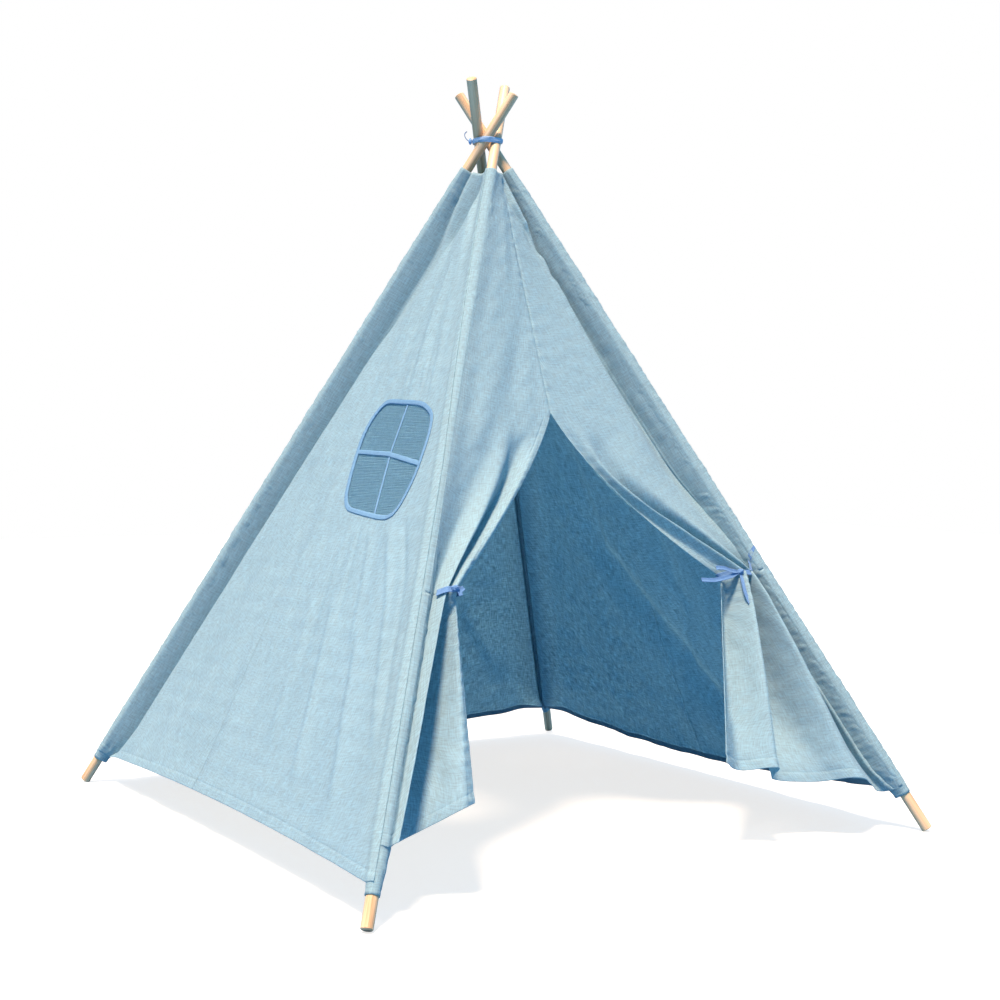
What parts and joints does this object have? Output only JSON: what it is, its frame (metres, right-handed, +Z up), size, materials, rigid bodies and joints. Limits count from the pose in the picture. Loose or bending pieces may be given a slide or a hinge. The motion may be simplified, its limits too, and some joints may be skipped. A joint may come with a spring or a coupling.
{
  "type": "kids teepee",
  "caption": "Child's play tent: pine poles crossed and lashed at the top, a blue cloth cover with a netted window and a door whose flaps are tied back to the front poles.",
  "frame": {"origin": "on the floor, midway between the four pole feet", "axes": "+Z up along the tent's height, -Y out of the doorway, -X towards the panel with the window"},
  "size_m": [1.2378, 1.2748, 1.4401],
  "materials": {
    "pine": "bare sanded pine",
    "ferrule_steel": "bare metal",
    "blue_cotton": "plain weave cotton",
    "blue_ribbon": "satin ribbon",
    "window_net": "open net"
  },
  "bodies": {
    "cover": {"window_panel": "blue_cotton", "door_panel_left": "blue_cotton", "door_panel_right": "blue_cotton", "right_panel": "blue_cotton", "back_panel": "blue_cotton", "window_net": "window_net", "window_binding": "blue_ribbon", "window_tape_upright": "blue_ribbon", "window_tape_level": "blue_ribbon", "top_lashing": "blue_ribbon", "top_lashing_knot": "blue_ribbon"},
    "pole_front": {"pole_front_lower": "pine", "pole_front_middle": "pine", "pole_front_upper": "pine", "ferrule_front_lower": "ferrule_steel", "ferrule_front_upper": "ferrule_steel", "sleeve_front": "blue_cotton", "door_tie_left": "blue_ribbon"},
    "pole_right": {"pole_right_lower": "pine", "pole_right_middle": "pine", "pole_right_upper": "pine", "ferrule_right_lower": "ferrule_steel", "ferrule_right_upper": "ferrule_steel", "sleeve_right": "blue_cotton", "door_tie_right": "blue_ribbon"},
    "pole_back": {"pole_back_lower": "pine", "pole_back_middle": "pine", "pole_back_upper": "pine", "ferrule_back_lower": "ferrule_steel", "ferrule_back_upper": "ferrule_steel", "sleeve_back": "blue_cotton"},
    "pole_left": {"pole_left_lower": "pine", "pole_left_middle": "pine", "pole_left_upper": "pine", "ferrule_left_lower": "ferrule_steel", "ferrule_left_upper": "ferrule_steel", "sleeve_left": "blue_cotton"}
  },
  "joints": [
    {"name": "fold_front", "type": "hinge", "parent": "cover", "child": "pole_front", "pos_m": [0.01235, -0.01197, 1.314], "axis": [0.718, -0.696, 0], "range_deg": [0, 24], "deforming": ["window_panel", "door_panel_left", "door_panel_right", "right_panel", "back_panel", "window_net", "window_binding", "window_tape_upright", "window_tape_level"]},
    {"name": "fold_right", "type": "hinge", "parent": "cover", "child": "pole_right", "pos_m": [0.01235, 0.01197, 1.314], "axis": [0.718, 0.696, 0], "range_deg": [0, 24]},
    {"name": "fold_back", "type": "hinge", "parent": "cover", "child": "pole_back", "pos_m": [-0.01235, 0.01197, 1.314], "axis": [-0.718, 0.696, 0], "range_deg": [0, 24]},
    {"name": "fold_left", "type": "hinge", "parent": "cover", "child": "pole_left", "pos_m": [-0.01235, -0.01197, 1.314], "axis": [-0.718, -0.696, 0], "range_deg": [0, 24]}
  ],
  "couplings": [
    {"joint": "fold_right", "follows": "fold_front", "ratio": 1},
    {"joint": "fold_back", "follows": "fold_front", "ratio": 1},
    {"joint": "fold_left", "follows": "fold_front", "ratio": 1}
  ]
}
